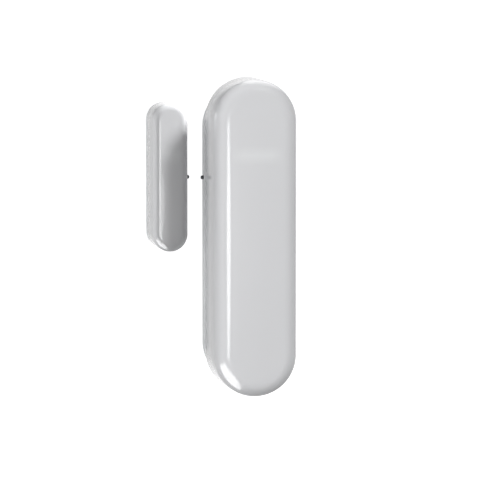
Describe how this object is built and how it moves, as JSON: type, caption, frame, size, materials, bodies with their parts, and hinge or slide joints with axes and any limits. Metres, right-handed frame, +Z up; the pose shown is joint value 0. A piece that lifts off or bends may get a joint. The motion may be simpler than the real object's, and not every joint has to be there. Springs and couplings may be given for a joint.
{
  "type": "door contact sensor",
  "caption": "Wireless door contact sensor: a long glossy white pill housing with a lift-off front, beside a short pill-shaped magnet unit.",
  "frame": {"origin": "centre of the sensor's back face, on the wall", "axes": "+Z up along the sensor, +Y into the wall, -Y out of the flat front, the magnet unit on the -X side"},
  "size_m": [0.0354, 0.018, 0.0786],
  "materials": {
    "white_shell": "glossy injection-moulded white",
    "back_shell": "satin injection-moulded white",
    "foam_tape": "dark grey foam tape with a paper liner",
    "board_green": "green solder mask over glass fibre board",
    "screw_steel": "zinc-plated",
    "holder_black": "black glass-filled plastic",
    "cell_sleeve": "printed shrink sleeve, no lettering",
    "cell_ring": "coloured insulating ring",
    "contact_steel": "nickel-plated sheet",
    "spring_steel": "nickel-plated wire",
    "reed_tube": "clear sealed tube",
    "reed_wire": "tinned nickel-iron",
    "chip_black": "moulded epoxy",
    "shield_tin": "tinned sheet",
    "antenna_copper": "enamelled copper wire",
    "crystal_metal": "seam-welded lid",
    "can_aluminium": "drawn can on a black base",
    "capacitor_tan": "ceramic with tinned ends",
    "resistor_black": "thick film with tinned ends",
    "header_black": "moulded strip",
    "pin_gold": "gold-flashed pins",
    "led_lens": "resin over a chip",
    "guide_clear": "clear moulded rod",
    "switch_black": "moulded case",
    "plunger_ivory": "acetal",
    "switch_metal": "pressed cover",
    "button_black": "moulded actuator",
    "mark_dark": "dark alignment mark",
    "magnet_metal": "nickel-plated sintered magnet"
  },
  "bodies": {
    "sensor_back": {"back_housing": "back_shell", "sensor_tape": "foam_tape", "circuit_board": "board_green", "board_screws": "screw_steel", "battery_holder": "holder_black", "battery": "cell_sleeve", "battery_ring": "cell_ring", "positive_contact": "contact_steel", "negative_contact": "contact_steel", "negative_spring": "spring_steel", "reed_glass": "reed_tube", "reed_fixed_lead": "reed_wire", "reed_far_lead": "reed_wire", "microcontroller": "chip_black", "radio_shield": "shield_tin", "antenna_coil": "antenna_copper", "crystal_can": "crystal_metal", "buffer_capacitor": "can_aluminium", "chip_capacitors": "capacitor_tan", "chip_resistors": "resistor_black", "program_header": "header_black", "header_pins": "pin_gold", "status_led": "led_lens", "tamper_case": "switch_black", "pairing_switch": "switch_metal", "sensor_mark": "mark_dark"},
    "sensor_front": {"sensor_cover": "white_shell", "light_guide": "guide_clear"},
    "tamper_plunger": {"tamper_plunger": "plunger_ivory"},
    "pairing_button": {"pairing_button": "button_black"},
    "reed_blade": {"reed_moving_blade": "reed_wire"},
    "magnet_unit": {"magnet_base": "back_shell", "bar_magnet": "magnet_metal", "magnet_unit_tape": "foam_tape"},
    "magnet_front": {"magnet_cover": "white_shell", "magnet_mark": "mark_dark"}
  },
  "joints": [
    {"name": "cover_pull", "type": "slide", "parent": "sensor_back", "child": "sensor_front", "axis": [0, -1, 0], "range_m": [0, 0.03]},
    {"name": "tamper_press", "type": "slide", "parent": "sensor_back", "child": "tamper_plunger", "axis": [0, -1, 0], "range_m": [0, 0.0006]},
    {"name": "pairing_press", "type": "slide", "parent": "sensor_back", "child": "pairing_button", "axis": [0, 1, 0], "range_m": [0, 0.00025], "stiffness_N_per_m": 800},
    {"name": "magnet_travel", "type": "slide", "parent": "sensor_back", "child": "magnet_unit", "axis": [-1, 0, 0], "range_m": [0, 0.04]},
    {"name": "reed_flex", "type": "hinge", "parent": "sensor_back", "child": "reed_blade", "pos_m": [-0.0061, -0.00683, 0.02], "axis": [-1, 0, 0], "range_deg": [0, 2.4]},
    {"name": "magnet_cover_pull", "type": "slide", "parent": "magnet_unit", "child": "magnet_front", "axis": [0, -1, 0], "range_m": [0, 0.018]}
  ],
  "couplings": [
    {"joint": "tamper_press", "follows": "cover_pull", "ratio": 0.02},
    {"joint": "reed_flex", "follows": "magnet_travel", "rad_per_m": 1.0471}
  ]
}
